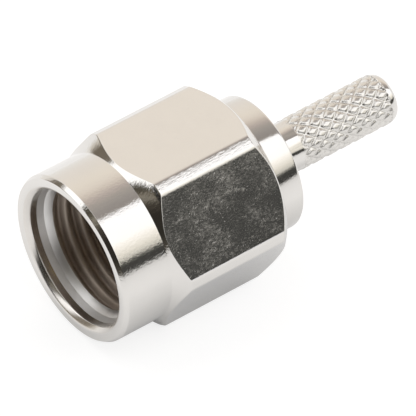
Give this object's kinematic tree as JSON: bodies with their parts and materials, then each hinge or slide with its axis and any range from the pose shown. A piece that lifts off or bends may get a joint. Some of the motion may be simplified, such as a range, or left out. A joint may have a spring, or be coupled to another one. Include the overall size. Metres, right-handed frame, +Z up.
{
  "type": "sma connector",
  "caption": "Straight crimp plug for thin coaxial cable: hexagon coupling nut with a round skirt, collar and diamond-knurled crimp stem.",
  "frame": {"origin": "on the axis in the mating plane, the front face of the outer contact, inside the nut's thread", "axes": "+X along the axis from the open mouth to the crimp stem, +Z up with the plug lying on one flat of its hexagon"},
  "size_m": [0.0168, 0.009, 0.008],
  "materials": {
    "nickel_nut": "bright nickel plate on brass, fine turning marks",
    "nickel_body": "bright nickel plate on brass",
    "bronze_ring": "plain spring bronze",
    "silicone": "matt silicone rubber",
    "ptfe": "waxy white plastic",
    "gold_contact": "gold plate on brass"
  },
  "bodies": {
    "body": {"plug_body": "nickel_body", "sealing_gasket": "silicone", "insulator": "ptfe", "centre_contact": "gold_contact"},
    "ring": {"retaining_ring": "bronze_ring"},
    "nut": {"coupling_nut": "nickel_nut"}
  },
  "joints": [
    {"name": "nut_float", "type": "slide", "parent": "body", "child": "ring", "axis": [1, 0, 0], "range_m": [-0.0001, 0.0001]},
    {"name": "nut_spin", "type": "hinge", "parent": "ring", "child": "nut", "pos_m": [0, 0, 0], "axis": [1, 0, 0], "continuous": true}
  ]
}
